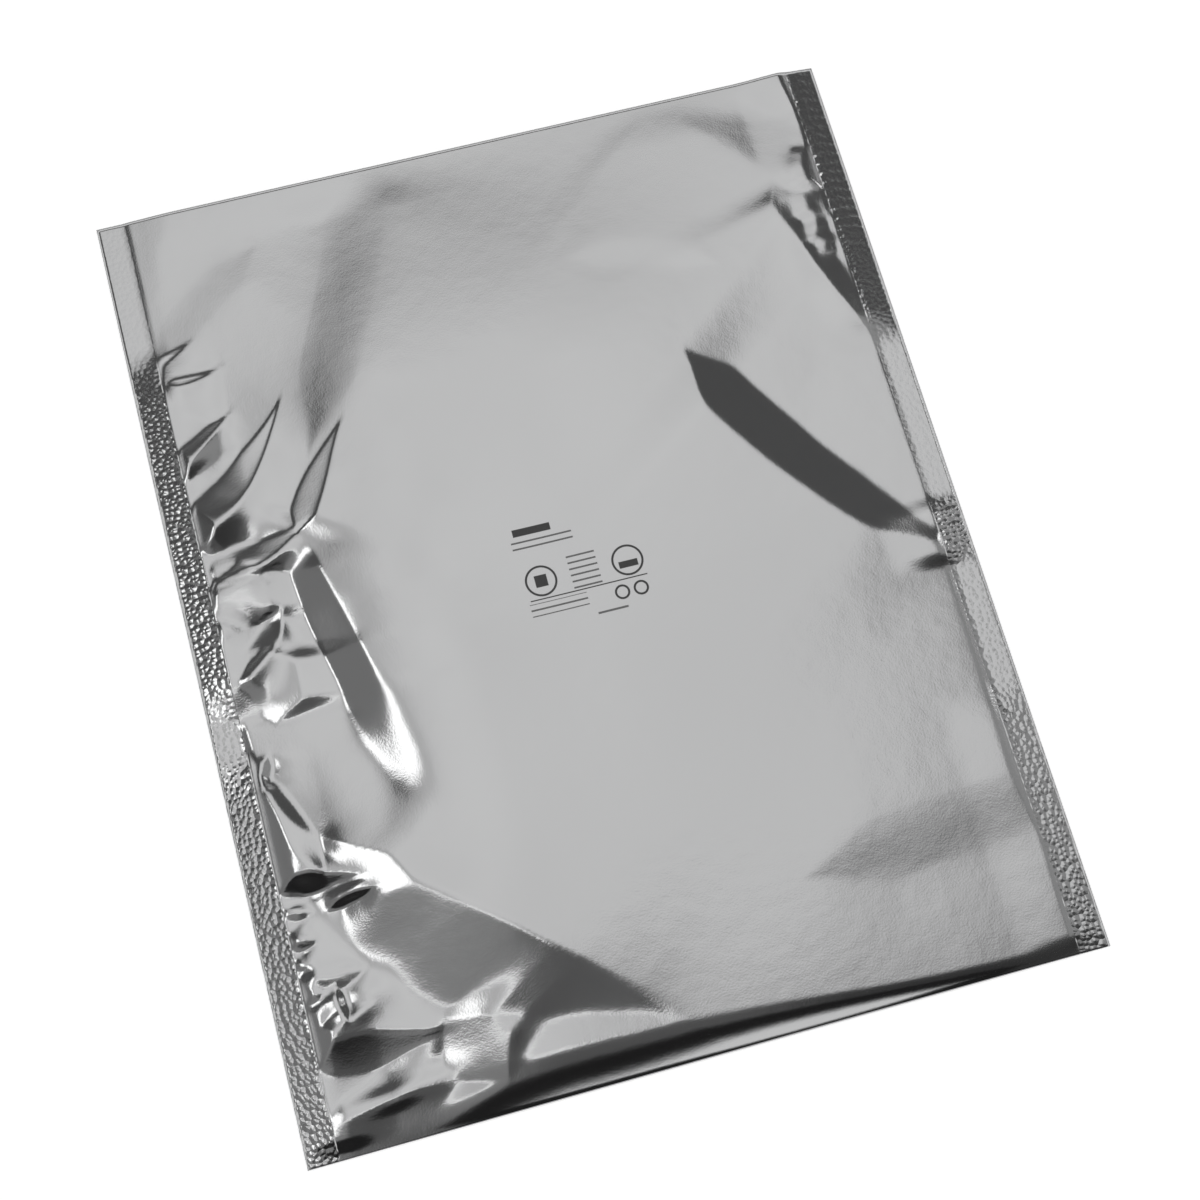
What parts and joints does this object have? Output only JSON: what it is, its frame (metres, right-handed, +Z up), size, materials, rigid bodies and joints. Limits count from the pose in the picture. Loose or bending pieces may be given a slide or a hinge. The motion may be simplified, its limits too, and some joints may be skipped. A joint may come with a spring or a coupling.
{
  "type": "moisture barrier bag",
  "caption": "Empty flat pouch of crumpled metallised film, folded at the bottom, heat sealed along both sides, open at the top edge.",
  "frame": {"origin": "on the table under the middle of the bag as it lies", "axes": "+Y along the bag from the fold to the open mouth, +Z up out of the front film, +X to the right seen from above"},
  "size_m": [0.2032, 0.254, 0.0076],
  "materials": {
    "metallised_film": "satin, finely grained, crumpled"
  },
  "bodies": {
    "root": {"barrier_bag": "metallised_film"}
  },
  "joints": []
}
